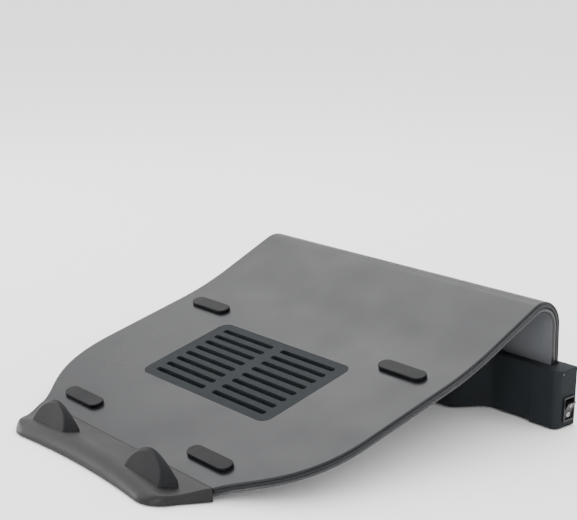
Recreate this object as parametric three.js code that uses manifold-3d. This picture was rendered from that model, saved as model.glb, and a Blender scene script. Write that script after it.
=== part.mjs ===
// Laptop cooling pad: a bent two-layer ramp that plugs into a long rear bar, with three 40 mm
// fans in the bar's deeper middle, a rocker switch on its right end, and a raised front lip
// with two half-round stoppers. Millimetres, +Z up, +X to the user's right, +Y away from the user.
// Every piece is laid out from the lip's front edge (y = 0) and the table (z = 0); the outer
// group then moves the whole pad so that the origin is under the middle of its box.
import * as THREE from 'three';
import { ConvexGeometry } from 'three/addons/geometries/ConvexGeometry.js';
import { mergeVertices } from 'three/addons/utils/BufferGeometryUtils.js';
import Module from 'manifold-3d';

const wasm = await Module();
wasm.setup();

// ---------------------------------------------------------------- driving dimensions
const GAP = 0.3; // air left between touching pieces
const FOOT = 1; // how far the rubber feet stand out below the plastic
const PAD_DEPTH = 340;

const LIP_DEPTH = 38;
const LIP_HEIGHT = 12;
const LIP_HALF = 82; // half width of the lip's straight front, before its corners
const LIP_CORNER = 18;
const LIP_FLARE = 0.55; // how fast the lip widens behind its corners
const LIP_WELL = 156; // width of the hollow under the lip
const LIP_RECESS = 4.5; // how far the middle of the front edge sits back
const CROWN_RADIUS = 915;

const RAMP_HALF = 153;
const FLARE_START = 106.5; // the ramp's half width behind the lip
const FLARE_END = 130; // from here back the ramp has its full width
const RAMP_START = 10.16; // height of the ramp's top behind the lip
const RAMP_SLOPE = 0.269;
const REAR_SLOPE = 0.476;
const SHELL = 4.4;
const LINER = 1.9;
const REAR_EXTRA = 1.8; // the liner thickens by this much from the crest down the rear wall
const LINER_PROUD = 0.6; // the liner's rim stands out past the shell's edge
const CREST_RADIUS = 22;
const CREST_Y = 312;
const CREST_Z = 76.3;
const WALL_BACK = 335.5; // rear face of the ramp's rear wall at the bar
const WALL_FRONT = WALL_BACK - SHELL - LINER - REAR_EXTRA - 3 * GAP; // front of the bar's notches

const BAR_HALF = 168;
const BAR_TOP = 46.5;
const BAR_FRONT = 316;
const COVER_FRONT = 317.5;
const BOX_FRONT = 290.5;
const BOX_HALF = 79;
const BOX_SHOULDER = 108;
const CAP_SEAM = 143;
const CAP_CORNER = 5.5;
const SKIN = 2;
const TAB_INNER = 108; // the rear wall's tabs run between these two half widths
const TAB_OUTER = 138;
const TAB_BOTTOM = 16;
const WALL_BOTTOM = 37;

const FAN_SIZE = 40;
const FAN_DEPTH = 20;
const FAN_PITCH = 54;
const FAN_Z = 23.9;
const FAN_FRONT = 293.2;
const BLADES = 7;
const HUB_RADIUS = 10;
const BLADE_TIP = 18.3;

const SWITCH_Y = 330.6;
const SWITCH_Z = 15.2;
const BEZEL_WIDTH = 13.5;
const BEZEL_HEIGHT = 19.5;
const BEZEL_PROUD = 1;
const ROCKER_WIDTH = 9.6;
const ROCKER_LENGTH = 13.8;
const ROCKER_TILT = THREE.MathUtils.degToRad(16);
const ROCKER_CROWN = 5.2; // pivot to the height of the rocker's two ends
const ROCKER_SWING = 1.3; // room above and below the rocker for its ends to swing
const PIVOT_X = BAR_HALF - 2.4;
const LIGHT_Y = 322.5;
const LIGHT_Z = 43.6;
const LIGHT_RADIUS = 0.6;

// ---------------------------------------------------------------- finishes
const finish = (color, roughness, metalness = 0) =>
  new THREE.MeshStandardMaterial({ color, roughness, metalness });
const shellPlastic = finish(0x2b2c2f, 0.38);
const linerPlastic = finish(0x303134, 0.3);
const lipPlastic = finish(0x2a2a2b, 0.55);
const barPlastic = finish(0x202325, 0.5);
const fanPlastic = finish(0x141516, 0.45);
const rubber = finish(0x1b1b1c, 0.85);
const steel = finish(0x9a9c9f, 0.35, 1);
const brass = finish(0xb08d45, 0.4, 1);
const wireSkin = finish(0x8d1d1a, 0.6);
const lens = finish(0xd8dadd, 0.2);

// ---------------------------------------------------------------- solids
const ALONG_X = new THREE.Matrix4().makeBasis(
  new THREE.Vector3(0, 1, 0), new THREE.Vector3(0, 0, 1), new THREE.Vector3(1, 0, 0));
const ALONG_Y = new THREE.Matrix4().makeBasis(
  new THREE.Vector3(1, 0, 0), new THREE.Vector3(0, 0, 1), new THREE.Vector3(0, -1, 0));

/** A closed three.js geometry as a manifold solid. */
function solid(geometry) {
  const bare = geometry.clone();
  bare.deleteAttribute('normal');
  bare.deleteAttribute('uv');
  const merged = mergeVertices(bare, 1e-4);
  return new wasm.Manifold(new wasm.Mesh({
    numProp: 3,
    vertProperties: new Float32Array(merged.attributes.position.array),
    triVerts: new Uint32Array(merged.index.array),
  }));
}

/** A manifold solid as a three.js geometry. */
function geometryOf(body) {
  const { vertProperties, triVerts } = body.getMesh();
  const geometry = new THREE.BufferGeometry();
  geometry.setAttribute('position', new THREE.BufferAttribute(vertProperties, 3));
  geometry.setIndex(new THREE.BufferAttribute(triVerts, 1));
  geometry.computeVertexNormals();
  return geometry;
}

function extrude(shape, depth, curveSegments = 3, bevel = { bevelEnabled: false }) {
  return new THREE.ExtrudeGeometry(shape, { depth, curveSegments, ...bevel });
}

/** A (y, z) outline swept from x0 to x1. */
function alongX(shape, x0, x1, curveSegments) {
  return solid(extrude(shape, x1 - x0, curveSegments).applyMatrix4(ALONG_X).translate(x0, 0, 0));
}

/** An (x, z) outline swept from y0 to y1. */
function alongY(shape, y0, y1, curveSegments) {
  return solid(extrude(shape, y1 - y0, curveSegments).applyMatrix4(ALONG_Y).translate(0, y1, 0));
}

/** An (x, y) outline swept from z0 to z1. */
function alongZ(shape, z0, z1, curveSegments) {
  return solid(extrude(shape, z1 - z0, curveSegments).translate(0, 0, z0));
}

function box(x0, x1, y0, y1, z0, z1) {
  return solid(new THREE.BoxGeometry(x1 - x0, y1 - y0, z1 - z0)
    .translate((x0 + x1) / 2, (y0 + y1) / 2, (z0 + z1) / 2));
}

function roundedRect(u, v, width, height, radius) {
  const [left, right, low, high] = [u - width / 2, u + width / 2, v - height / 2, v + height / 2];
  const shape = new THREE.Shape();
  shape.moveTo(left + radius, low);
  shape.lineTo(right - radius, low);
  shape.absarc(right - radius, low + radius, radius, -Math.PI / 2, 0);
  shape.lineTo(right, high - radius);
  shape.absarc(right - radius, high - radius, radius, 0, Math.PI / 2);
  shape.lineTo(left + radius, high);
  shape.absarc(left + radius, high - radius, radius, Math.PI / 2, Math.PI);
  shape.lineTo(left, low + radius);
  shape.absarc(left + radius, low + radius, radius, Math.PI, Math.PI * 1.5);
  return shape;
}

const cutAll = (body, cutters) => cutters.reduce((left, cutter) => left.subtract(cutter), body);
const joinAll = (bodies) => bodies.reduce((joined, body) => joined.add(body));
const mirrored = (body) => body.mirror([1, 0, 0]);

// ---------------------------------------------------------------- the assembly
const layout = new THREE.Group();

function place(name, body, material, parent = layout) {
  const geometry = body.isBufferGeometry ? body : geometryOf(body);
  const mesh = new THREE.Mesh(geometry, material);
  mesh.name = name;
  parent.add(mesh);
  return mesh;
}

// ---------------------------------------------------------------- ramp
const rampTop = (y) => RAMP_START + RAMP_SLOPE * (y - LIP_DEPTH);

/** The middle line of the ramp's top, over the crest and down its rear wall, as (y, z) points. */
function rampLine() {
  const lean = Math.atan(REAR_SLOPE);
  const crest = new THREE.Vector2(
    CREST_Y - CREST_RADIUS * Math.sin(lean), CREST_Z + CREST_RADIUS * Math.cos(lean));
  const rearZero = crest.y - REAR_SLOPE * crest.x;
  const rampZero = RAMP_START - RAMP_SLOPE * LIP_DEPTH;
  const bendY = (rampZero - rearZero) / (REAR_SLOPE - RAMP_SLOPE);
  const reach = 25;
  const path = new THREE.Path();
  path.moveTo(LIP_DEPTH + GAP, rampTop(LIP_DEPTH + GAP));
  path.lineTo(bendY - reach, rampTop(bendY - reach));
  path.quadraticCurveTo(bendY, rampTop(bendY), bendY + reach, rearZero + REAR_SLOPE * (bendY + reach));
  path.lineTo(crest.x, crest.y);
  path.absarc(CREST_Y, CREST_Z, CREST_RADIUS, Math.PI / 2 + lean, 0, true);
  path.lineTo(WALL_BACK, BAR_TOP);
  path.lineTo(WALL_BACK, TAB_BOTTOM);
  return path.getPoints(14).filter((p, i, all) => i === 0 || p.distanceTo(all[i - 1]) > 0.01);
}

/** The line above, moved inwards by a distance, and by extra more behind the crest. */
function inside(line, distance, extra = 0) {
  return line.map((p, i) => {
    const before = line[Math.max(i - 1, 0)];
    const after = line[Math.min(i + 1, line.length - 1)];
    const along = after.clone().sub(before).normalize();
    const depth = distance + extra * THREE.MathUtils.smoothstep(p.x, CREST_Y - 20, CREST_Y + 20);
    return new THREE.Vector2(p.x + along.y * depth, p.y - along.x * depth);
  });
}

/** One bent layer of the ramp between two depths below its top. */
function rampLayer(from, to, half, extra = 0) {
  const line = rampLine();
  const band = new THREE.Shape([...inside(line, from), ...inside(line, to, extra).reverse()]);
  const rear = new THREE.Shape();
  rear.moveTo(FLARE_START, LIP_DEPTH + GAP);
  rear.bezierCurveTo(FLARE_START + 11, 58, half, 72, half, FLARE_END);
  rear.lineTo(half, PAD_DEPTH);
  rear.lineTo(-half, PAD_DEPTH);
  rear.lineTo(-half, FLARE_END);
  rear.bezierCurveTo(-half, 72, -FLARE_START - 11, 58, -FLARE_START, LIP_DEPTH + GAP);
  rear.closePath();
  const sheet = alongX(band, -half, half).intersect(alongZ(rear, FOOT, 120, 12));
  const below = [
    box(-TAB_INNER, TAB_INNER, 320, PAD_DEPTH, 0, BAR_TOP + 2 * GAP),
    box(TAB_OUTER, half + 1, 320, PAD_DEPTH, 0, WALL_BOTTOM),
    box(-half - 1, -TAB_OUTER, 320, PAD_DEPTH, 0, WALL_BOTTOM),
  ];
  return cutAll(sheet, below);
}

/** A frame that lies on the straight ramp: x across, y up the slope, z out of the surface. */
function rampFrame(y) {
  const frame = new THREE.Matrix4().makeRotationX(Math.atan(RAMP_SLOPE));
  return frame.setPosition(0, y, rampTop(y));
}

const onRamp = (geometry, y) => solid(geometry.applyMatrix4(rampFrame(y)));

const GRILLE_Y = 150;
const GRILLE_WIDTH = 150;
const GRILLE_LENGTH = 88;
const GRILLE_DEPTH = SHELL + LINER + GAP;
const WINDOW_Z = 67;
const WINDOW_HALF = 98;
const WINDOW_HEIGHT = 26;

const rampWindow = onRamp(
  extrude(roundedRect(0, 0, GRILLE_WIDTH, GRILLE_LENGTH, 8), 30).translate(0, 0, -20), GRILLE_Y);
const rearWindow = alongY(
  roundedRect(0, WINDOW_Z, 2 * WINDOW_HALF, WINDOW_HEIGHT, 5), 320, PAD_DEPTH);

const SHELL_SCREWS = [[-120, 118], [120, 118], [-120, 196], [120, 196], [-70, 78], [70, 78]];

function roundBar(radius, z0, z1, segments = 12) {
  return new THREE.CylinderGeometry(radius, radius, z1 - z0, segments)
    .rotateX(Math.PI / 2).translate(0, 0, (z0 + z1) / 2);
}

/** A pan-head screw with its head down, its head's seat at z = 0 and its shank upwards. */
function screwGeometry(shank) {
  return new THREE.LatheGeometry([
    new THREE.Vector2(0, -1.3), new THREE.Vector2(1.8, -1.3), new THREE.Vector2(2.4, -0.9),
    new THREE.Vector2(2.4, 0), new THREE.Vector2(1.2, 0), new THREE.Vector2(1.2, shank),
    new THREE.Vector2(0, shank),
  ], 12).rotateX(Math.PI / 2);
}

function buildRamp() {
  const layerTop = SHELL + GAP;
  const layerBottom = layerTop + LINER;
  const screwHoles = SHELL_SCREWS.map(([x, y]) =>
    onRamp(roundBar(1.5, -20, -1.2).translate(x, 0, 0), y));
  const outer = rampLayer(0, SHELL, RAMP_HALF);
  const inner = rampLayer(layerTop, layerBottom, RAMP_HALF + LINER_PROUD, REAR_EXTRA);
  place('top_shell', cutAll(outer, [rampWindow, rearWindow, ...screwHoles]), shellPlastic);
  place('under_shell', cutAll(inner, [rampWindow, rearWindow, ...screwHoles]), linerPlastic);
  SHELL_SCREWS.forEach(([x, y], i) => {
    const screw = screwGeometry(layerBottom - 1.6).translate(x, 0, -layerBottom - GAP);
    place(`shell_screw_${i + 1}`, screw.applyMatrix4(rampFrame(y)), steel);
  });
}

/** The slotted insert that fills the ramp's window, over the fans' air path. */
function buildRampGrille() {
  const plate = extrude(
    roundedRect(0, 0, GRILLE_WIDTH - 2 * GAP, GRILLE_LENGTH - 2 * GAP, 8 - GAP), GRILLE_DEPTH)
    .translate(0, 0, -GRILLE_DEPTH);
  const slots = [];
  const rows = 8;
  const pitch = 9.8;
  for (const x of [-35, 35]) {
    for (let row = 0; row < rows; row++) {
      const slot = extrude(roundedRect(x, (row - (rows - 1) / 2) * pitch, 60, 4.6, 2.2), 30, 2);
      slots.push(onRamp(slot.translate(0, 0, -20), GRILLE_Y));
    }
  }
  place('vent_grille', cutAll(onRamp(plate, GRILLE_Y), slots), barPlastic);
}

/** The dark slotted insert in the rear wall, behind the crest. */
function buildRearGrille() {
  const y1 = WALL_BACK - 1.6;
  const panel = alongY(
    roundedRect(0, WINDOW_Z, 2 * WINDOW_HALF - 2 * GAP, WINDOW_HEIGHT - 2 * GAP, 5), y1 - 3, y1);
  const count = 24;
  const slots = Array.from({ length: count }, (_, i) => {
    const x = (i - (count - 1) / 2) * 7.8;
    return box(x - 2.2, x + 2.2, 320, PAD_DEPTH, WINDOW_Z - 9.5, WINDOW_Z + 9.5);
  });
  place('rear_grille', cutAll(panel, slots), fanPlastic);
}

function buildGripPads() {
  for (const [row, x, y] of [['front', 78, 58], ['rear', 112, 206]]) {
    for (const [side, sign] of [['left', -1], ['right', 1]]) {
      const pad = extrude(roundedRect(sign * x, 0, 44, 12, 5.9), 2.6).translate(0, 0, GAP);
      place(`grip_pad_${row}_${side}`, pad.applyMatrix4(rampFrame(y)), rubber);
    }
  }
}

// ---------------------------------------------------------------- front lip
/** The lip seen from above, back to a depth. */
function lipOutline(back) {
  const half = LIP_HALF + 14;
  const rear = half + LIP_FLARE * (back - LIP_CORNER);
  const straight = half - LIP_CORNER - 4;
  const shape = new THREE.Shape();
  shape.moveTo(-rear, back);
  shape.lineTo(-half, LIP_CORNER);
  shape.quadraticCurveTo(-half + 6, 0, -straight, 0);
  shape.quadraticCurveTo(0, 2 * LIP_RECESS, straight, 0);
  shape.quadraticCurveTo(half - 6, 0, half, LIP_CORNER);
  shape.lineTo(rear, back);
  shape.closePath();
  return shape;
}

function crown(top, y0, y1) {
  const half = 120;
  const sweep = Math.asin(half / CROWN_RADIUS);
  const shape = new THREE.Shape();
  shape.moveTo(-half, -10);
  shape.lineTo(half, -10);
  shape.absarc(0, top - CROWN_RADIUS, CROWN_RADIUS, Math.PI / 2 - sweep, Math.PI / 2 + sweep);
  shape.closePath();
  return alongY(shape, y0, y1, 16);
}

const STOPPER_X = 59.5;
const STOPPER_FACE = 21; // half width of a stopper's front face
const STOPPER_HALF = 28; // half width of its rear face
const STOPPER_FRONT = 14;
const STOPPER_BACK = 24.5;
const STOPPER_TOP = 27.3;
const LIP_ROUND = 9;

function lipBlank() {
  const rounding = {
    bevelEnabled: true, bevelThickness: 7, bevelSize: LIP_ROUND, bevelOffset: -LIP_ROUND,
    bevelSegments: 5,
  };
  const block = solid(extrude(lipOutline(60), 20, 12, rounding).translate(0, 0, -15));
  const slope = new THREE.Shape();
  slope.moveTo(10, -10);
  slope.lineTo(LIP_DEPTH, -10);
  slope.lineTo(LIP_DEPTH, rampTop(LIP_DEPTH));
  slope.lineTo(10, rampTop(10));
  slope.closePath();
  return block.intersect(crown(LIP_HEIGHT, 0, LIP_DEPTH - 8).add(alongX(slope, -130, 130)))
    .intersect(box(-130, 130, 0, LIP_DEPTH, FOOT, 40));
}

/** A stopper about x = 0: a small leaning half ellipse in front of a taller, wider arch. */
function stopperBlank() {
  const points = [];
  const steps = 16;
  for (let i = 0; i <= steps; i++) {
    const turn = (Math.PI * i) / steps;
    const rise = Math.sin(turn);
    points.push(new THREE.Vector3(
      -STOPPER_FACE * Math.cos(turn), STOPPER_FRONT + 8 * rise, 8.5 + 17.5 * rise));
    const x = STOPPER_HALF * (1 - (2 * i) / steps);
    const drop = ((x * x + 36) ** 0.75 - 36 ** 0.75) / 10.1;
    points.push(new THREE.Vector3(x, STOPPER_BACK, STOPPER_TOP - drop));
  }
  for (const x of [-1, 1]) {
    points.push(new THREE.Vector3(x * STOPPER_FACE, STOPPER_FRONT - 0.5, 2));
    points.push(new THREE.Vector3(x * (STOPPER_HALF + 3), STOPPER_BACK, 2));
  }
  return solid(new ConvexGeometry(points));
}

function buildLip() {
  const blank = lipBlank();
  const pegHoles = [-STOPPER_X, STOPPER_X].map((x) =>
    solid(roundBar(3.3, 2, 20).translate(x, 19.5, 0)));
  const hollow = alongZ(roundedRect(0, 19.5, LIP_WELL, 23, 4), 0, 5.2);
  place('front_lip', cutAll(blank, [hollow, ...pegHoles]), lipPlastic);

  const cover = alongZ(roundedRect(0, 19.5, LIP_WELL - 2 * GAP, 23 - 2 * GAP, 4 - GAP), FOOT, FOOT + 1.8);
  place('lip_base', cover, barPlastic);

  const raised = blank.translate([0, 0, GAP]).add(blank);
  for (const [side, x] of [['left', -STOPPER_X], ['right', STOPPER_X]]) {
    const body = stopperBlank().translate([x, 0, 0]).subtract(raised)
      .intersect(box(-130, 130, 0, 40, 4, 60));
    const peg = solid(roundBar(3, 7, 14, 16).translate(x, 19.5, 0));
    place(`stopper_${side}`, body.add(peg), rubber);
  }
}

// ---------------------------------------------------------------- rear bar
/** The bar's middle seen from above: a slim bar that swells forward into the fan box. */
function coverOutline(inset, back) {
  const half = CAP_SEAM - GAP;
  const front = COVER_FRONT + inset;
  const boxFront = BOX_FRONT + inset;
  const boxHalf = BOX_HALF - inset * 0.5;
  const shoulder = BOX_SHOULDER - inset * 0.5;
  const bend = (shoulder - boxHalf) * 0.5;
  const shape = new THREE.Shape();
  shape.moveTo(-half, back);
  shape.lineTo(-half, front);
  shape.lineTo(-shoulder, front);
  shape.bezierCurveTo(-shoulder + bend, front, -boxHalf - bend, boxFront, -boxHalf, boxFront);
  shape.lineTo(boxHalf, boxFront);
  shape.bezierCurveTo(boxHalf + bend, boxFront, shoulder - bend, front, shoulder, front);
  shape.lineTo(half, front);
  shape.lineTo(half, back);
  shape.closePath();
  return shape;
}

/** Vertical slots inside a circle in front of one fan. */
function fanSlots(x, y0, y1) {
  const cuts = [];
  for (let i = -3; i <= 3; i++) {
    const offset = i * 5;
    const reach = Math.sqrt(17.5 ** 2 - offset ** 2);
    cuts.push(box(x + offset - 1.5, x + offset + 1.5, y0, y1, FAN_Z - reach, FAN_Z + reach));
  }
  return cuts;
}

const fanPlaces = [['left', -FAN_PITCH], ['middle', 0], ['right', FAN_PITCH]];
const BASE_SCREWS = [[-128, 324], [128, 324], [-84, 300], [84, 300]];
const COVER_BACK = 337.5;
const INLET_X = 93;
const INLET_Z = 24;

function buildBar() {
  const bottom = FOOT + 0.6;
  const baseTop = bottom + SKIN;
  const block = alongZ(coverOutline(0, COVER_BACK), bottom, BAR_TOP, 10);
  const hollow = alongZ(coverOutline(SKIN, COVER_BACK + 5), 0, BAR_TOP - SKIN, 10);
  const notch = box(TAB_INNER - 0.4, CAP_SEAM + 2, WALL_FRONT, PAD_DEPTH, BAR_TOP - 2 * SKIN, BAR_TOP + 5);
  const notches = [notch, mirrored(notch)];
  const outlets = fanPlaces.flatMap(([, x]) => fanSlots(x, BOX_FRONT - 5, BOX_FRONT + SKIN + 0.5));
  place('front_cover', cutAll(block, [hollow, ...notches, ...outlets]), barPlastic);

  const screwHoles = BASE_SCREWS.map(([x, y]) => solid(roundBar(1.5, 0, 12).translate(x, y, 0)));
  const headPockets = BASE_SCREWS.map(([x, y]) => solid(roundBar(2.8, 0, bottom + 1).translate(x, y, 0)));
  const base = alongZ(coverOutline(SKIN + GAP, COVER_BACK), bottom, baseTop, 10);
  place('base_plate', cutAll(base, [...screwHoles, ...headPockets]), barPlastic);
  BASE_SCREWS.forEach(([x, y], i) => {
    place(`base_screw_${i + 1}`, screwGeometry(5).translate(x, y, bottom + 1 - GAP), steel);
  });

  const inletHole = alongY(
    new THREE.Shape().absarc(INLET_X, INLET_Z, 4.3, 0, Math.PI * 2), 330, PAD_DEPTH + 5, 20);
  const intakes = fanPlaces.flatMap(([, x]) => fanSlots(x, 330, PAD_DEPTH + 5));
  const back = alongY(
    roundedRect(0, (bottom + BAR_TOP) / 2, 2 * (CAP_SEAM - GAP), BAR_TOP - bottom, 0.5),
    COVER_BACK + GAP, PAD_DEPTH);
  place('back_cover', cutAll(back, [inletHole, ...intakes]), barPlastic);
}

/** The right end cap; the left one is its mirror image without the switch opening. */
function endCap() {
  const shape = new THREE.Shape();
  shape.moveTo(CAP_SEAM, BAR_FRONT);
  shape.lineTo(BAR_HALF - CAP_CORNER, BAR_FRONT);
  shape.absarc(BAR_HALF - CAP_CORNER, BAR_FRONT + CAP_CORNER, CAP_CORNER, -Math.PI / 2, 0);
  shape.lineTo(BAR_HALF, PAD_DEPTH - 1.5);
  shape.absarc(BAR_HALF - 1.5, PAD_DEPTH - 1.5, 1.5, 0, Math.PI / 2);
  shape.lineTo(CAP_SEAM, PAD_DEPTH);
  shape.closePath();
  const block = alongZ(shape, FOOT, BAR_TOP, 7);
  const hollow = box(CAP_SEAM - 5, BAR_HALF - SKIN, BAR_FRONT + SKIN + 1.5, PAD_DEPTH - SKIN,
    FOOT + SKIN, BAR_TOP - SKIN);
  const notch = box(CAP_SEAM - 5, RAMP_HALF + LINER_PROUD + GAP, WALL_FRONT, WALL_BACK + GAP,
    WALL_BOTTOM - GAP, BAR_TOP + 5);
  return cutAll(block, [hollow, notch]);
}

function buildEndCaps() {
  const cap = endCap();
  const switchHole = box(
    BAR_HALF - 5, BAR_HALF + 5, SWITCH_Y - 6, SWITCH_Y + 6, SWITCH_Z - 9, SWITCH_Z + 9);
  const disc = (radius) => new THREE.Shape().absarc(LIGHT_Y, LIGHT_Z, radius, 0, Math.PI * 2);
  const lightHole = alongX(disc(LIGHT_RADIUS + GAP), BAR_HALF - 1.2, BAR_HALF + 5, 12);
  place('end_cap_right', cutAll(cap, [switchHole, lightHole]), barPlastic);
  place('status_light', alongX(disc(LIGHT_RADIUS), BAR_HALF - 0.9, BAR_HALF + 0.2, 10), lens);
  place('end_cap_left', mirrored(cap), barPlastic);
}

// ---------------------------------------------------------------- rocker switch
function buildSwitch() {
  const frameShape = roundedRect(SWITCH_Y, SWITCH_Z, BEZEL_WIDTH, BEZEL_HEIGHT, 1);
  const opening = alongX(
    roundedRect(SWITCH_Y, SWITCH_Z, ROCKER_WIDTH + 0.8, ROCKER_LENGTH + 2 * ROCKER_SWING, 0.6),
    BAR_HALF - 7, BAR_HALF + 5);
  const bezel = alongX(frameShape, BAR_HALF + GAP, BAR_HALF + GAP + BEZEL_PROUD);
  place('switch_bezel', bezel.subtract(opening), fanPlastic);

  const half = ROCKER_LENGTH / 2;
  const pinHole = alongY(new THREE.Shape().absarc(PIVOT_X, SWITCH_Z, 1.1, 0, Math.PI * 2), 320, 340, 12);
  const well = box(BAR_HALF - 8.5, BAR_HALF + 5, SWITCH_Y - ROCKER_WIDTH / 2 - 0.4,
    SWITCH_Y + ROCKER_WIDTH / 2 + 0.4, SWITCH_Z - half - ROCKER_SWING, SWITCH_Z + half + ROCKER_SWING);
  const shellBox = box(BAR_HALF - 14, BAR_HALF, SWITCH_Y - 5.7, SWITCH_Y + 5.7,
    SWITCH_Z - 8.7, SWITCH_Z + 8.7);
  place('switch_body', cutAll(shellBox, [well, pinHole]), fanPlastic);

  // The rocker's outline, pivot at the origin, level: two faces that meet in a shallow valley.
  const end = ROCKER_CROWN - 0.6;
  const valley = end - 1.1;
  const outline = new THREE.Shape();
  outline.moveTo(-3.2, -4);
  outline.lineTo(-1.4, -half + 0.9);
  outline.lineTo(end, -half);
  outline.quadraticCurveTo(valley + 0.15, -half * 0.35, valley, 0);
  outline.quadraticCurveTo(valley + 0.15, half * 0.35, end, half);
  outline.lineTo(-1.4, half - 0.9);
  outline.lineTo(-3.2, 4);
  outline.closePath();
  const y0 = SWITCH_Y - ROCKER_WIDTH / 2;
  const rocker = alongY(outline, y0, y0 + ROCKER_WIDTH)
    .subtract(alongY(new THREE.Shape().absarc(0, 0, 1.2, 0, Math.PI * 2), 320, 340, 12));
  const rockerMesh = place('rocker', rocker, rubber);
  rockerMesh.rotation.y = ROCKER_TILT;
  rockerMesh.position.set(PIVOT_X, 0, SWITCH_Z);

  const pin = new THREE.CylinderGeometry(0.9, 0.9, 11, 12).translate(PIVOT_X, SWITCH_Y, SWITCH_Z);
  place('rocker_pin', pin, steel);
  for (const [name, z] of [['upper', SWITCH_Z + 5], ['lower', SWITCH_Z - 5]]) {
    place(`switch_terminal_${name}`, box(BAR_HALF - 21, BAR_HALF - 14 - GAP, SWITCH_Y - 2.4,
      SWITCH_Y + 2.4, z - 0.4, z + 0.4), brass);
  }
}

// ---------------------------------------------------------------- fans
function fanFrame() {
  const square = roundedRect(0, 0, FAN_SIZE, FAN_SIZE, 3);
  square.holes.push(new THREE.Path().absarc(0, 0, BLADE_TIP + 0.7, 0, Math.PI * 2));
  for (const [sx, sz] of [[-1, -1], [-1, 1], [1, -1], [1, 1]]) {
    square.holes.push(new THREE.Path().absarc(sx * 16, sz * 16, 1.6, 0, Math.PI * 2));
  }
  const back = FAN_FRONT + FAN_DEPTH;
  const frame = alongY(square, FAN_FRONT, back, 6);
  const seat = alongY(new THREE.Shape().absarc(0, 0, HUB_RADIUS, 0, Math.PI * 2), back - 2, back, 12);
  const arms = [0, 120, 240].map((turn) =>
    box(-1.5, 1.5, back - 2, back, 0, FAN_SIZE / 2 - 0.5).rotate([0, turn, 0]));
  return joinAll([frame, seat, ...arms]);
}

/** The spinning part, centred on its axis: a cup over the motor, its shaft, and the blades. */
function impeller() {
  const cup = new THREE.LatheGeometry([
    new THREE.Vector2(0, 0), new THREE.Vector2(HUB_RADIUS - 1.5, 0), new THREE.Vector2(HUB_RADIUS, 1.5),
    new THREE.Vector2(HUB_RADIUS, 15), new THREE.Vector2(HUB_RADIUS - 1.4, 15),
    new THREE.Vector2(HUB_RADIUS - 1.4, 2), new THREE.Vector2(1, 2), new THREE.Vector2(1, 12),
    new THREE.Vector2(0, 12),
  ], 24);
  const hub = solid(cup).translate([0, FAN_FRONT + 1.5, 0]);
  const blade = new THREE.Shape();
  const reach = BLADE_TIP - HUB_RADIUS + 0.8;
  blade.moveTo(0, -6.2);
  blade.quadraticCurveTo(3.4, 0, 9.4, 6.2);
  blade.lineTo(10.6, 6.2);
  blade.quadraticCurveTo(5.2, 0, 1.4, -6.2);
  blade.closePath();
  const vane = solid(extrude(blade, reach, 4).translate(-5.3, 0, HUB_RADIUS - 0.8))
    .translate([0, FAN_FRONT + 9, 0]);
  const vanes = Array.from({ length: BLADES }, (_, i) => vane.rotate([0, (360 / BLADES) * i, 0]));
  const sweep = new THREE.CylinderGeometry(BLADE_TIP, BLADE_TIP, 60, 36).translate(0, FAN_FRONT, 0);
  return joinAll([hub, ...vanes]).intersect(solid(sweep));
}

function fanMotor() {
  const back = FAN_FRONT + FAN_DEPTH;
  return new THREE.LatheGeometry([
    new THREE.Vector2(1.4, 4.5), new THREE.Vector2(7.6, 4.5), new THREE.Vector2(7.6, 14),
    new THREE.Vector2(4.5, 15), new THREE.Vector2(4.5, back - 2 - GAP - FAN_FRONT),
    new THREE.Vector2(1.4, back - 2 - GAP - FAN_FRONT), new THREE.Vector2(1.4, 4.5),
  ], 18).translate(0, FAN_FRONT, 0);
}

function buildFans() {
  const frame = geometryOf(fanFrame());
  const wheel = geometryOf(impeller());
  const motor = fanMotor();
  for (const [side, x] of fanPlaces) {
    const parts = [
      ['fan_frame', frame, fanPlastic], ['fan_motor', motor, steel], ['impeller', wheel, fanPlastic],
    ];
    for (const [name, geometry, material] of parts) {
      place(`${name}_${side}`, geometry, material).position.set(x, 0, FAN_Z);
    }
  }
}

// ---------------------------------------------------------------- inlet and leads
function buildInletAndLeads() {
  const barrel = new THREE.LatheGeometry([
    new THREE.Vector2(0, 0), new THREE.Vector2(4, 0), new THREE.Vector2(4, 11),
    new THREE.Vector2(2.8, 11), new THREE.Vector2(2.8, 3), new THREE.Vector2(0.9, 3),
    new THREE.Vector2(0.9, 10), new THREE.Vector2(0, 10),
  ], 18);
  place('power_inlet', barrel.translate(INLET_X, PAD_DEPTH - 11.5, INLET_Z), fanPlastic);

  const lead = (points) => {
    const route = new THREE.CatmullRomCurve3(points.map((p) => new THREE.Vector3(...p)));
    const section = new THREE.Shape().absarc(0, 0, 0.9, 0, Math.PI * 2);
    return new THREE.ExtrudeGeometry(section, {
      steps: 24, curveSegments: 4, bevelEnabled: false, extrudePath: route,
    });
  };
  place('supply_lead', lead([
    [INLET_X, 327.5, INLET_Z], [99, 323, 16], [112, 322, 9.5], [132, 324, 9.8], [146.4, SWITCH_Y, 10.4],
  ]), wireSkin);
  place('fan_lead', lead([
    [146.4, SWITCH_Y, 20.4], [140, 325, 21], [124, 323, 22], [108, 323.5, 26], [92, 320, 34], [76, 316.5, 37],
    [60, 315.5, 38],
  ]), wireSkin);
}

function buildFeet() {
  const places = [
    ['front_left', -66, 15.5, FOOT], ['front_right', 66, 15.5, FOOT],
    ['rear_left', -154, 328, FOOT], ['rear_right', 154, 328, FOOT],
  ];
  for (const [name, x, y, top] of places) {
    const foot = alongZ(roundedRect(x, y, 16, 9, 4), 0, top - 0.05, 6);
    place(`foot_${name}`, foot, rubber);
  }
}

buildRamp();
buildRampGrille();
buildRearGrille();
buildGripPads();
buildLip();
buildBar();
buildEndCaps();
buildSwitch();
buildFans();
buildInletAndLeads();
buildFeet();

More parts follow.
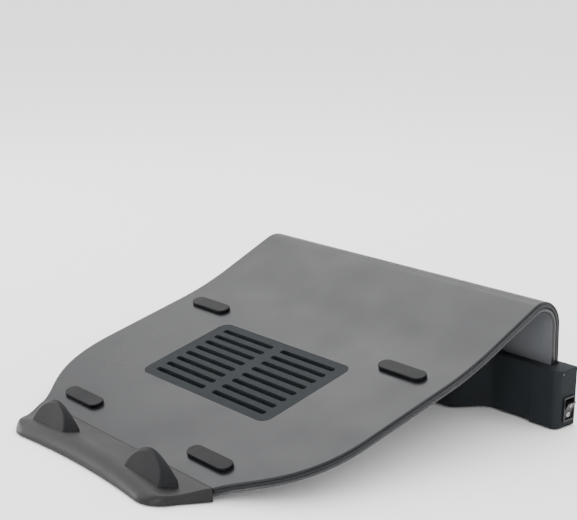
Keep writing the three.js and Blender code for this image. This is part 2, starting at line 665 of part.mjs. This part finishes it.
const bounds = new THREE.Box3().setFromObject(layout, true);
const middle = bounds.getCenter(new THREE.Vector3());
layout.position.set(-middle.x, -middle.y, -bounds.min.z);
const pad = new THREE.Group();
pad.add(layout);

export default pad;
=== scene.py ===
import math

import bmesh
import bpy
import numpy as np
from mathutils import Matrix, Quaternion, Vector


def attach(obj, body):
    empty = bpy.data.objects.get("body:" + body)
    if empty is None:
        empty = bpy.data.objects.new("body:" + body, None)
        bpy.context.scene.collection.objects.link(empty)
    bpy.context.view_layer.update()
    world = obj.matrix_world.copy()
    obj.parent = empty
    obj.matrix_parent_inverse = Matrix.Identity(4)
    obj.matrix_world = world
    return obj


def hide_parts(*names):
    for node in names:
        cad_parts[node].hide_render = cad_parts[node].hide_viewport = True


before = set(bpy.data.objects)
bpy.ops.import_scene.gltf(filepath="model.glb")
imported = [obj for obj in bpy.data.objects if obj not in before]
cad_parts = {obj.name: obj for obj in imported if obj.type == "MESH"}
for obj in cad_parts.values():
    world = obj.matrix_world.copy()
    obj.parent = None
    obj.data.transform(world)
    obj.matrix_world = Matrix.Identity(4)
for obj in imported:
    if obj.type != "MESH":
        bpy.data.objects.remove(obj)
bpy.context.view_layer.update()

# The pad is laid out in millimetres from the lip's front edge (y = 0) and the table (z = 0), with
# the same driving dimensions as the CAD. ORIGIN is that layout's own zero in the frame.
MM = 0.001
ORIGIN = Vector((-1.96185, -170.0, 0.0))


def to_frame(points):
    return [tuple((Vector(p) + ORIGIN) * MM) for p in points]


# ------------------------------------------------------------------ meshes
def add_piece(name, verts, faces, material, body="stand", sharp=35.0):
    """A shaded mesh in layout millimetres, riding on a CAD body."""
    mesh = bpy.data.meshes.new(name)
    mesh.from_pydata(to_frame(verts), [], faces)
    mesh.validate()
    shade(mesh, sharp)
    return stand_piece(name, mesh, material, body)


def stand_piece(name, mesh, material, body):
    """Puts a finished mesh in the scene, riding on a CAD body, with its material's slot."""
    mesh.materials.clear()
    mesh.materials.append(material)
    piece = bpy.data.objects.new(name, mesh)
    bpy.context.scene.collection.objects.link(piece)
    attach(piece, body)
    return piece


def shade(mesh, sharp):
    bm = bmesh.new()
    bm.from_mesh(mesh)
    bmesh.ops.remove_doubles(bm, verts=bm.verts, dist=1e-6)
    bmesh.ops.recalc_face_normals(bm, faces=bm.faces)
    bm.to_mesh(mesh)
    bm.free()
    mesh.polygons.foreach_set("use_smooth", [True] * len(mesh.polygons))
    mesh.set_sharp_from_angle(angle=math.radians(sharp))


def even_normals(piece):
    weighted = piece.modifiers.new("even_normals", "WEIGHTED_NORMAL")
    weighted.keep_sharp = True
    weighted.weight = 80
    return piece


def rounded(node, width, material, body="stand", corner=38.0, segments=3):
    """The CAD node with its edges rounded off by width millimetres."""
    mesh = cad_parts[node].data.copy()
    mesh.name = node + "_fine"
    bm = bmesh.new()
    bm.from_mesh(mesh)
    bmesh.ops.remove_doubles(bm, verts=bm.verts, dist=2e-6)
    bmesh.ops.dissolve_limit(bm, angle_limit=math.radians(0.6), verts=bm.verts, edges=bm.edges)
    edges = [
        e for e in bm.edges
        if len(e.link_faces) == 2 and e.calc_face_angle(0.0) > math.radians(corner)
    ]
    bmesh.ops.bevel(
        bm, geom=edges, offset=width * MM, segments=segments, profile=0.5,
        affect="EDGES", clamp_overlap=True,
    )
    bmesh.ops.recalc_face_normals(bm, faces=bm.faces)
    bm.to_mesh(mesh)
    bm.free()
    mesh.polygons.foreach_set("use_smooth", [True] * len(mesh.polygons))
    mesh.set_sharp_from_angle(angle=math.radians(40))
    piece = stand_piece(node + "_fine", mesh, material, body)
    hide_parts(node)
    return even_normals(piece)


def loft(rings):
    """Verts and faces of a closed tube through equal rings of points, with flat ends."""
    count = len(rings[0])
    verts = [p for ring in rings for p in ring]
    faces = []
    for i in range(len(rings) - 1):
        for j in range(count):
            k = (j + 1) % count
            faces.append((i * count + j, i * count + k, (i + 1) * count + k, (i + 1) * count + j))
    faces.append(tuple(reversed(range(count))))
    faces.append(tuple(range((len(rings) - 1) * count, len(rings) * count)))
    return verts, faces


def cut(piece, verts, faces):
    """Takes a closed shape, in layout millimetres, out of a piece."""
    mesh = bpy.data.meshes.new("cutter")
    mesh.from_pydata(to_frame(verts), [], faces)
    bm = bmesh.new()
    bm.from_mesh(mesh)
    bmesh.ops.recalc_face_normals(bm, faces=bm.faces)
    bm.to_mesh(mesh)
    bm.free()
    tool = bpy.data.objects.new("cutter", mesh)
    bpy.context.scene.collection.objects.link(tool)
    boolean = piece.modifiers.new("cut", "BOOLEAN")
    boolean.operation = "DIFFERENCE"
    boolean.solver = "EXACT"
    boolean.object = tool
    bpy.context.view_layer.update()
    evaluated = piece.evaluated_get(bpy.context.evaluated_depsgraph_get())
    result = bpy.data.meshes.new_from_object(evaluated)
    piece.modifiers.remove(boolean)
    piece.data = result
    bpy.data.objects.remove(tool)
    return piece


def arc(centre, radius, start, stop, steps):
    """Points (u, v) round a centre, from one angle to another in degrees."""
    return [
        (centre[0] + radius * math.cos(a), centre[1] + radius * math.sin(a))
        for a in np.radians(np.linspace(start, stop, steps + 1))
    ]


def rounded_rect(u, v, width, height, radius, steps=6):
    half_u, half_v = width / 2 - radius, height / 2 - radius
    corners = [(1, -1, -90), (1, 1, 0), (-1, 1, 90), (-1, -1, 180)]
    return [
        p for su, sv, start in corners
        for p in arc((u + su * half_u, v + sv * half_v), radius, start, start + 90, steps)
    ]


# ------------------------------------------------------------------ materials
def make_material(
    name, colour, roughness, metallic=0.0, grain=0.0, grain_mm=0.7, mottle=0.08,
    rough_mottle=0.05, smudge=0.0, coat=0.0, shine=0.5,
):
    """Plastic or metal with a moulded grain, faint mottling and handling smudges, named by its slot."""
    material = bpy.data.materials.new(name + "_fine")
    material.use_nodes = True
    nodes, links = material.node_tree.nodes, material.node_tree.links
    shader = nodes["Principled BSDF"]
    shader.inputs["Metallic"].default_value = metallic
    shader.inputs["Specular IOR Level"].default_value = shine
    shader.inputs["Coat Weight"].default_value = coat
    shader.inputs["Coat Roughness"].default_value = 0.12
    coords = nodes.new("ShaderNodeTexCoord")

    def noise(scale, detail, rough=0.5):
        node = nodes.new("ShaderNodeTexNoise")
        node.inputs["Scale"].default_value = scale
        node.inputs["Detail"].default_value = detail
        node.inputs["Roughness"].default_value = rough
        links.new(coords.outputs["Object"], node.inputs["Vector"])
        return node

    def spread(source, low, high, from_low=0.3, from_high=0.7):
        node = nodes.new("ShaderNodeMapRange")
        node.inputs["From Min"].default_value = from_low
        node.inputs["From Max"].default_value = from_high
        node.inputs["To Min"].default_value = low
        node.inputs["To Max"].default_value = high
        links.new(source, node.inputs["Value"])
        return node.outputs["Result"]

    def maths(kind, a, b):
        node = nodes.new("ShaderNodeMath")
        node.operation = kind
        for socket, value in zip(node.inputs, (a, b)):
            if isinstance(value, (int, float)):
                socket.default_value = value
            else:
                links.new(value, socket)
        return node.outputs[0]

    broad = noise(28.0, 3.0)
    fine = noise(1.0 / (grain_mm * MM), 2.0)
    tone = nodes.new("ShaderNodeHueSaturation")
    tone.inputs["Color"].default_value = (*colour, 1.0)
    value = maths("MULTIPLY", spread(broad.outputs["Fac"], 1 - mottle, 1 + mottle),
                  spread(fine.outputs["Fac"], 1 - mottle * 0.6, 1 + mottle * 0.6))
    links.new(value, tone.inputs["Value"])
    links.new(tone.outputs["Color"], shader.inputs["Base Color"])

    rough = spread(broad.outputs["Fac"], roughness - rough_mottle, roughness + rough_mottle)
    if smudge:
        marks = noise(9.0, 2.0)
        rough = maths("ADD", rough, spread(marks.outputs["Fac"], 0.0, smudge, 0.42, 0.74))
    links.new(rough, shader.inputs["Roughness"])

    if grain:
        bump = nodes.new("ShaderNodeBump")
        bump.inputs["Strength"].default_value = grain
        bump.inputs["Distance"].default_value = 0.00012
        links.new(fine.outputs["Fac"], bump.inputs["Height"])
        links.new(bump.outputs["Normal"], shader.inputs["Normal"])
    return material


SHELL_PLASTIC = make_material(
    "shell_plastic", (0.0070, 0.0076, 0.0090), 0.31, grain=0.07, grain_mm=0.9, smudge=0.05, shine=0.23)
# The liner's colour is lightened far past the dark charcoal plastic it is made of. This is a painted
# reflection of the bright room on its inner panel.
LINER_PAINTED_REFLECTION = make_material(
    "liner_plastic", (0.095, 0.099, 0.106), 0.2, grain=0.06, grain_mm=0.8, shine=0.6)
# A darker copy of the liner for its sideways rim. It is painted shade, set against the painted
# reflection on the liner's other faces.
LINER_SHADED_COPY = make_material(
    "liner_shaded_copy", (0.012, 0.0125, 0.0145), 0.24, grain=0.06, grain_mm=0.8, shine=0.42)
LIP_PLASTIC = make_material(
    "lip_plastic", (0.0070, 0.0068, 0.0070), 0.46, grain=0.6, grain_mm=0.9, smudge=0.05, shine=0.22)
BAR_PLASTIC = make_material(
    "bar_plastic", (0.0150, 0.0174, 0.0192), 0.54, grain=0.4, grain_mm=0.8, smudge=0.04, shine=0.04)
FAN_PLASTIC = make_material(
    "fan_plastic", (0.0035, 0.0038, 0.0044), 0.42, grain=0.2, grain_mm=0.7, shine=0.3)
RUBBER = make_material(
    "rubber", (0.0032, 0.0034, 0.0041), 0.56, grain=0.6, grain_mm=0.7, mottle=0.12, shine=0.14)
SWITCH_GLOSS = make_material(
    "switch_gloss", (0.0035, 0.0037, 0.0042), 0.36, mottle=0.03, shine=0.22)
MARKS = make_material("rocker_marks", (0.75, 0.76, 0.77), 0.5, mottle=0.03)
LENS = make_material("lens", (0.06, 0.063, 0.066), 0.2, coat=0.5, mottle=0.02)
STEEL = make_material("steel", (0.5, 0.5, 0.49), 0.3, metallic=1.0, grain=0.15)
BRASS = make_material("brass", (0.55, 0.36, 0.12), 0.35, metallic=1.0)
WIRE_SKIN = make_material("wire_skin", (0.3, 0.012, 0.01), 0.45, grain=0.1)

# ------------------------------------------------------------------ ramp
LIP_DEPTH, GAP, FOOT, PAD_DEPTH = 38.0, 0.3, 1.0, 340.0
RAMP_HALF, RAMP_START, RAMP_SLOPE, REAR_SLOPE = 153.0, 10.16, 0.269, 0.476
FLARE_START, FLARE_END = 106.5, 130.0
SHELL, LINER, REAR_EXTRA, LINER_PROUD = 4.4, 1.9, 1.8, 0.6
CREST_Y, CREST_Z, CREST_RADIUS, WALL_BACK = 312.0, 76.3, 22.0, 335.5
BAR_TOP, TAB_INNER = 46.5, 108.0
WALL_END = 38.0  # the rear wall is drawn down to here, inside the bar


def ramp_top(y):
    return RAMP_START + RAMP_SLOPE * (y - LIP_DEPTH)


def ease(value, low, high):
    t = min(max((value - low) / (high - low), 0.0), 1.0)
    return t * t * (3 - 2 * t)


def bezier(points, steps):
    """Points along a Bezier curve of any degree."""
    row = []
    for t in np.linspace(0, 1, steps + 1):
        level = [np.array(p, float) for p in points]
        while len(level) > 1:
            level = [a + (b - a) * t for a, b in zip(level, level[1:])]
        row.append(tuple(level[0]))
    return row


def ramp_line():
    """The middle line of the ramp's top as (y, z, inward y, inward z)."""
    lean = math.atan(REAR_SLOPE)
    crest = (CREST_Y - CREST_RADIUS * math.sin(lean), CREST_Z + CREST_RADIUS * math.cos(lean))
    rear_zero = crest[1] - REAR_SLOPE * crest[0]
    ramp_zero = RAMP_START - RAMP_SLOPE * LIP_DEPTH
    bend = (ramp_zero - rear_zero) / (REAR_SLOPE - RAMP_SLOPE)
    reach = 25.0
    start = LIP_DEPTH + GAP

    def rear(y):
        return rear_zero + REAR_SLOPE * y

    points = [(y, ramp_top(y)) for y in np.linspace(start, bend - reach, 60)]
    corner = (bend, ramp_top(bend))
    turn = [(bend - reach, ramp_top(bend - reach)), corner, (bend + reach, rear(bend + reach))]
    points += bezier(turn, 24)[1:]
    points += [(y, rear(y)) for y in np.linspace(bend + reach, crest[0], 10)[1:]]
    points += arc((CREST_Y, CREST_Z), CREST_RADIUS, 90 + math.degrees(lean), 0, 44)[1:]
    points += [
        (CREST_Y + CREST_RADIUS + (WALL_BACK - CREST_Y - CREST_RADIUS) * t,
         CREST_Z + (BAR_TOP - CREST_Z) * t) for t in np.linspace(0, 1, 12)[1:]
    ]
    points.append((WALL_BACK, WALL_END))
    line = []
    for i, (y, z) in enumerate(points):
        before_y, before_z = points[max(i - 1, 0)]
        after_y, after_z = points[min(i + 1, len(points) - 1)]
        length = math.hypot(after_y - before_y, after_z - before_z)
        line.append((y, z, (after_z - before_z) / length, -(after_y - before_y) / length))
    return line


def half_width(y, half):
    """The ramp's half width at a depth: a flare from the lip out to the full width."""
    if y >= FLARE_END:
        return half
    start = (FLARE_START, LIP_DEPTH + GAP)
    flare = bezier([start, (FLARE_START + 11, 58), (half, 72), (half, FLARE_END)], 80)
    xs, ys = zip(*flare)
    return float(np.interp(y, ys, xs))


def ramp_layer(name, section, half, material):
    """Lofts one bent layer; section(half width, y) gives its right-hand edge as (x, depth) points."""
    rings = []
    for y, z, in_y, in_z in ramp_line():
        edge = section(half_width(y, half), y)
        inner = edge[0][0]
        columns = [c * inner for c in np.linspace(-1, 1, 25)[1:-1]]
        ring = [(x, edge[0][1]) for x in columns] + edge
        ring += [(x, edge[-1][1]) for x in reversed(columns)] + [(-x, d) for x, d in reversed(edge)]
        rings.append([(x, y + in_y * d, z + in_z * d) for x, d in ring])
    verts, faces = loft(rings)
    return add_piece(name, verts, faces, material)


def shell_section(w, _):
    """Rounded shoulder, a fine groove, a flat band and a small lower radius."""
    top, low = 1.1, 0.5
    points = [(x, -d) for x, d in arc((w - top, -top), top, 90, 0, 6)]
    points += [(w, 1.35), (w - 0.55, 1.45), (w - 0.55, 1.95), (w, 2.05)]
    points += [(x, -d) for x, d in arc((w - low, -(SHELL - low)), low, 0, -90, 3)]
    return points


def liner_section(w, y):
    """A full half round, which stands out past the shell as a bead and thickens behind the crest."""
    radius = (LINER + REAR_EXTRA * ease(y, CREST_Y - 20, CREST_Y + 20)) / 2
    middle = SHELL + GAP + radius
    return [(x, -d) for x, d in arc((w - radius, -middle), radius, 90, -90, 10)]


def prism_y(outline, y0, y1):
    """Verts and faces of an (x, z) outline between two depths."""
    return loft([[(x, y, z) for x, z in outline] for y in (y0, y1)])


def box_mesh(x0, x1, y0, y1, z0, z1):
    return loft([[(x0, y0, z), (x1, y0, z), (x1, y1, z), (x0, y1, z)] for z in (z0, z1)])


def on_ramp(y):
    """Turns (x, up the slope, out of the surface) into layout millimetres at a place on the ramp."""
    lean = math.atan(RAMP_SLOPE)
    sine, cosine = math.sin(lean), math.cos(lean)
    return lambda p: (p[0], y + p[1] * cosine - p[2] * sine, ramp_top(y) + p[1] * sine + p[2] * cosine)


GRILLE_Y, GRILLE_WIDTH, GRILLE_LENGTH = 150.0, 150.0, 88.0
WINDOW_Z, WINDOW_HALF, WINDOW_HEIGHT = 67.0, 98.0, 26.0
WALL_NEAR = 320.0  # cuts through the rear wall start here
WALL_SLOT_BOTTOM = 30.0
EDGE_TURN = 0.3  # the liner's faces that turn sideways by more than this get its darker copy, as painted shade on the rim


def build_ramp():
    shell = ramp_layer("ramp_shell", shell_section, RAMP_HALF, SHELL_PLASTIC)
    liner = ramp_layer("ramp_liner", liner_section, RAMP_HALF + LINER_PROUD, LINER_PAINTED_REFLECTION)
    place = on_ramp(GRILLE_Y)
    outline = rounded_rect(0, 0, GRILLE_WIDTH, GRILLE_LENGTH, 8)
    window = [[place((u, v, h)) for u, v in outline] for h in (-20, 10)]
    rear = rounded_rect(0, WINDOW_Z, 2 * WINDOW_HALF, WINDOW_HEIGHT, 5)
    for piece, node in ((shell, "top_shell"), (liner, "under_shell")):
        cut(piece, *loft(window))
        cut(piece, *prism_y(rear, WALL_NEAR, PAD_DEPTH))
        cut(piece, *box_mesh(
            -TAB_INNER, TAB_INNER, WALL_NEAR, PAD_DEPTH, WALL_SLOT_BOTTOM, BAR_TOP + 2 * GAP))
        cut(piece, *box_mesh(-200, 200, 0, PAD_DEPTH, -5, FOOT))
        shade(piece.data, 32)
        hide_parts(node)
        even_normals(piece)
    # Faces that turn sideways take the darker copy and the rest keep the lightened one: painted shade
    # and a painted reflection, chosen by face direction.
    liner.data.materials.append(LINER_SHADED_COPY)
    for face in liner.data.polygons:
        face.material_index = int(abs(face.normal.x) > EDGE_TURN)


# ------------------------------------------------------------------ front lip
LIP_HALF, LIP_RECESS, LIP_HEIGHT, CROWN_RADIUS = 82.0, 4.5, 12.0, 915.0
LIP_CORNER, LIP_FLARE = 18.0, 0.55
FRONT_ROLL, SIDE_ROLL, REAR_ROLL = 19.0, 1.8, 1.4  # how far in from each edge the top is reached


def build_lip():
    half = LIP_HALF + 14
    straight = half - LIP_CORNER - 4
    rear = half + LIP_FLARE * (LIP_DEPTH - LIP_CORNER)
    right = bezier([(rear, LIP_DEPTH), (half, LIP_CORNER)], 20)
    right += bezier([(half, LIP_CORNER), (half - 6, 0), (straight, 0)], 30)[1:]
    front = bezier([(straight, 0), (0, 2 * LIP_RECESS), (-straight, 0)], 90)[1:-1]
    edge = right + front + [(-x, y) for x, y in reversed(right)]
    dense = np.array(edge)

    def distance(x, y):
        a, b = dense[:-1], dense[1:]
        t = np.clip((((x, y) - a) * (b - a)).sum(1) / np.maximum(((b - a) ** 2).sum(1), 1e-12), 0, 1)
        near = a + (b - a) * t[:, None]
        return float(np.hypot(near[:, 0] - x, near[:, 1] - y).min())

    def shoulder(x, y):
        """The roll at a place: long in front, tight at the side, tightest behind."""
        roll = FRONT_ROLL + (SIDE_ROLL - FRONT_ROLL) * ease(abs(x), 74, 91)
        return roll + (REAR_ROLL - roll) * ease(y, 20, LIP_DEPTH)

    def height(x, y):
        crown = LIP_HEIGHT - (CROWN_RADIUS - math.sqrt(CROWN_RADIUS ** 2 - x * x))
        top = crown + (RAMP_START - crown) * ease(y, 16, LIP_DEPTH)
        reach = min(distance(x, y) / shoulder(x, y), 1.0)
        return FOOT + (top - FOOT) * (1 - (1 - reach) ** 2.2) ** (1 / 2.0)

    steps = 26
    rows = []
    for t in np.linspace(0, 1, steps):
        u = t ** 1.7
        row = []
        for x, y in edge:
            rear_x = x * (1 - 0.10 * (1 - y / LIP_DEPTH))
            px, py = x + (rear_x - x) * u, y + (LIP_DEPTH - y) * u
            row.append((px, py, height(px, py) if t > 0 else FOOT))
        rows.append(row)
    count = len(edge)
    verts = [p for row in rows for p in row] + [(x, y, FOOT) for x, y, _ in rows[-1]]
    faces = [
        (i * count + j, i * count + j + 1, (i + 1) * count + j + 1, (i + 1) * count + j)
        for i in range(steps) for j in range(count - 1)
    ]
    faces.append(tuple(range(count)) + tuple(steps * count + j for j in reversed(range(count))))
    lip = add_piece("lip_body", verts, faces, LIP_PLASTIC, sharp=50)
    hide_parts("front_lip")


STOPPER_X, STOPPER_FACE, STOPPER_HALF = 59.5, 21.0, 28.0
STOPPER_FRONT, STOPPER_BACK, STOPPER_TOP, STOPPER_FOOT = 14.0, 24.5, 27.3, 3.0
STOPPER_SPRING, STOPPER_RISE, STOPPER_LEAN = 8.5, 17.5, 8.0  # the front ellipse's foot, height, lean
ARCH_ROUND, ARCH_SPREAD = 36.0, 10.1  # how blunt the rear arch's top is, and how slowly it falls


def build_stopper(side, centre):
    """A leaning half ellipse in front of a taller, wider arch, with rolled edges."""
    steps = 40
    front, rear = [], []
    for turn in np.linspace(0, math.pi, steps + 1):
        rise, across = math.sin(turn), -math.cos(turn)
        front.append((
            centre + STOPPER_FACE * across, STOPPER_FRONT + STOPPER_LEAN * rise,
            STOPPER_SPRING + STOPPER_RISE * rise))
        x = STOPPER_HALF * across
        drop = ((x * x + ARCH_ROUND) ** 0.75 - ARCH_ROUND ** 0.75) / ARCH_SPREAD
        rear.append((centre + x, STOPPER_BACK, STOPPER_TOP - drop))
    sink = (STOPPER_SPRING - STOPPER_FOOT) / STOPPER_RISE
    bases = (
        (front, STOPPER_FACE, STOPPER_FRONT - STOPPER_LEAN * sink),
        (rear, STOPPER_HALF + 3, STOPPER_BACK),
    )
    for row, half, y in bases:
        row.insert(0, (centre - half, y, STOPPER_FOOT))
        row.append((centre + half, y, STOPPER_FOOT))
    verts, faces = loft([front, rear])
    stopper = add_piece(f"stopper_{side}_fine", verts, faces, RUBBER)
    bm = bmesh.new()
    bm.from_mesh(stopper.data)
    for row, width in ((front, 1.6), (rear, 1.0)):
        target = [Vector(p) for p in to_frame(row)]
        near = {v for v in bm.verts if min((v.co - t).length for t in target) < 2e-6}
        edges = [
            e for e in bm.edges
            if e.verts[0] in near and e.verts[1] in near and e.calc_face_angle(0.0) > 0.2
            and max(v.co.z for v in e.verts) > (STOPPER_FOOT + 0.5) * MM
        ]
        bmesh.ops.bevel(
            bm, geom=edges, offset=width * MM, segments=4, profile=0.5, affect="EDGES",
            clamp_overlap=False)
    bm.to_mesh(stopper.data)
    bm.free()
    shade(stopper.data, 40)
    even_normals(stopper)
    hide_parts(f"stopper_{side}")


# ------------------------------------------------------------------ bar, switch, fans
PLAIN = {
    "vent_grille": (0.35, BAR_PLASTIC), "rear_grille": (0.3, FAN_PLASTIC),
    "front_cover": (1.0, BAR_PLASTIC), "back_cover": (0.35, BAR_PLASTIC),
    "base_plate": (0.3, BAR_PLASTIC), "lip_base": (0.3, BAR_PLASTIC),
    "end_cap_left": (1.0, BAR_PLASTIC), "end_cap_right": (1.0, BAR_PLASTIC),
    "switch_bezel": (0.3, FAN_PLASTIC), "switch_body": (0.25, FAN_PLASTIC),
    "status_light": (0.15, LENS),
    "grip_pad_front_left": (0.6, RUBBER), "grip_pad_front_right": (0.6, RUBBER),
    "grip_pad_rear_left": (0.6, RUBBER), "grip_pad_rear_right": (0.6, RUBBER),
}


def finish_nodes():
    for node, (width, material) in PLAIN.items():
        rounded(node, width, material)
    rounded("rocker", 0.35, SWITCH_GLOSS, "rocker")
    for side in ("left", "middle", "right"):
        rounded(f"impeller_{side}", 0.12, FAN_PLASTIC, f"impeller_{side}", segments=2)
        rounded(f"fan_frame_{side}", 0.4, FAN_PLASTIC)
    rest = {
        "shell_screw": STEEL, "base_screw": STEEL, "fan_motor": STEEL, "rocker_pin": STEEL,
        "switch_terminal": BRASS, "supply_lead": WIRE_SKIN, "fan_lead": WIRE_SKIN,
        "foot": RUBBER, "power_inlet": FAN_PLASTIC,
    }
    for name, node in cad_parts.items():
        for start, material in rest.items():
            if name.startswith(start):
                node.data.materials.clear()
                node.data.materials.append(material)


PIVOT_X, SWITCH_Y, SWITCH_Z, ROCKER_TILT = 165.6, 330.6, 15.2, math.radians(16)
ROCKER_END, ROCKER_VALLEY, ROCKER_HALF = 4.6, 3.5, 6.9
MARK_OFFSET, MARK_HALF_WIDTH, MARK_HALF_LENGTH, RING_OUTER, RING_INNER = 3.9, 0.32, 1.5, 1.6, 1.15


def build_marks():
    """The generic on bar and off ring, printed on the rocker's two halves."""
    sine, cosine = math.sin(ROCKER_TILT), math.cos(ROCKER_TILT)

    def on_rocker(x, y, z):
        return (PIVOT_X + x * cosine + z * sine, SWITCH_Y + y, SWITCH_Z - x * sine + z * cosine)

    bend = (ROCKER_HALF * 0.35, ROCKER_VALLEY + 0.15)
    heights, depths = zip(*bezier([(0, ROCKER_VALLEY), bend, (ROCKER_HALF, ROCKER_END)], 3))

    def on_face(y, z, lift):
        return on_rocker(float(np.interp(abs(z), heights, depths)) + lift, y, z)

    low, high = -0.2, 0.06
    up = [MARK_OFFSET + v for v in np.linspace(-MARK_HALF_LENGTH, MARK_HALF_LENGTH, 9)]
    bar = [(-MARK_HALF_WIDTH, z) for z in up] + [(MARK_HALF_WIDTH, z) for z in reversed(up)]
    verts, faces = loft([[on_face(y, z, lift) for y, z in bar] for lift in (low, high)])
    add_piece("mark_on", verts, faces, MARKS, "rocker")
    steps = 40
    outer, inner = (
        arc((0, -MARK_OFFSET), radius, 0, 360, steps)[:-1] for radius in (RING_OUTER, RING_INNER))
    verts = [on_face(y, z, lift) for lift in (low, high) for ring in (outer, inner) for y, z in ring]
    faces = []
    for i in range(steps):
        j = (i + 1) % steps
        for a, b in ((0, 2), (2, 3), (3, 1), (1, 0)):
            faces.append((a * steps + i, a * steps + j, b * steps + j, b * steps + i))
    add_piece("mark_off", verts, faces, MARKS, "rocker")


build_ramp()
build_lip()
build_stopper("left", -STOPPER_X)
build_stopper("right", STOPPER_X)
finish_nodes()
build_marks()

# ------------------------------------------------------------------ floor, light, camera
def flat(name, colour, roughness):
    material = bpy.data.materials.new(name)
    material.use_nodes = True
    shader = material.node_tree.nodes["Principled BSDF"]
    shader.inputs["Base Color"].default_value = (*colour, 1.0)
    shader.inputs["Roughness"].default_value = roughness
    return material


def build_backdrop():
    """A round pale floor that sweeps up into a low wall all round, far outside the pad."""
    profile = [(0.8, 0.0), (3.5, 0.0)]
    profile += [(3.5 + math.sin(a), 1.0 - math.cos(a)) for a in np.linspace(0, math.pi / 2, 17)[1:]]
    profile.append((4.5, 1.5))
    around = 96
    verts = [(0.0, 0.0, 0.0)]
    for radius, height in profile:
        for turn in np.linspace(0, 2 * math.pi, around + 1)[:-1]:
            verts.append((radius * math.cos(turn), radius * math.sin(turn), height))
    faces = [(0, 1 + j, 1 + (j + 1) % around) for j in range(around)]
    for i in range(len(profile) - 1):
        for j in range(around):
            k = (j + 1) % around
            low, high = 1 + i * around, 1 + (i + 1) * around
            faces.append((low + j, high + j, high + k, low + k))
    mesh = bpy.data.meshes.new("floor")
    mesh.from_pydata(verts, [], faces)
    mesh.polygons.foreach_set("use_smooth", [True] * len(mesh.polygons))
    mesh.materials.append(flat("pale_floor", (0.86, 0.86, 0.86), 0.8))
    floor = bpy.data.objects.new("floor", mesh)
    bpy.context.scene.collection.objects.link(floor)


def build_world(low, high):
    """A soft white sky that is dim near the horizon and bright overhead."""
    world = bpy.data.worlds.new("studio")
    world.use_nodes = True
    nodes, links = world.node_tree.nodes, world.node_tree.links
    coords = nodes.new("ShaderNodeTexCoord")
    split = nodes.new("ShaderNodeSeparateXYZ")
    ramp = nodes.new("ShaderNodeMapRange")
    ramp.interpolation_type = "SMOOTHSTEP"
    ramp.inputs["From Min"].default_value = 0.02
    ramp.inputs["From Max"].default_value = 0.75
    ramp.inputs["To Min"].default_value = low
    ramp.inputs["To Max"].default_value = high
    links.new(coords.outputs["Generated"], split.inputs["Vector"])
    links.new(split.outputs["Z"], ramp.inputs["Value"])
    links.new(ramp.outputs["Result"], nodes["Background"].inputs["Strength"])
    nodes["Background"].inputs["Color"].default_value = (1.0, 1.0, 1.0, 1.0)
    bpy.context.scene.world = world


build_backdrop()
build_world(0.28, 2.9)


def area_light(name, position, target, size, power):
    light = bpy.data.lights.new(name, "AREA")
    light.shape = "RECTANGLE"
    light.size, light.size_y, light.energy = size[0], size[1], power
    lamp = bpy.data.objects.new(name, light)
    lamp.location = position
    lamp.rotation_mode = "QUATERNION"
    lamp.rotation_quaternion = (Vector(target) - Vector(position)).to_track_quat("-Z", "Y")
    bpy.context.scene.collection.objects.link(lamp)


area_light("soft_key", (-0.7, 0.6, 1.5), (0, 0, 0.05), (1.4, 1.4), 16)
area_light("low_left", (-1.3, -0.5, 0.3), (0.05, 0.05, 0.02), (0.9, 0.5), 12)
area_light("arch_fill", (0.5, -0.9, 0.16), (0.14, 0.16, 0.05), (0.4, 0.3), 3.2)

camera_data = bpy.data.cameras.new("camera")
camera_data.lens = 77.6
camera_data.sensor_width = 36.0
camera_data.clip_start, camera_data.clip_end = 0.05, 50.0
camera = bpy.data.objects.new("camera", camera_data)
camera.location = (0.6940, -0.5900, 0.3386)
camera.rotation_mode = "QUATERNION"
looking = Vector((-0.7298, 0.6437, -0.2304)).to_track_quat("-Z", "Y")
camera.rotation_quaternion = looking @ Quaternion((0, 0, 1), math.radians(0.9))
bpy.context.scene.collection.objects.link(camera)
bpy.context.scene.camera = camera
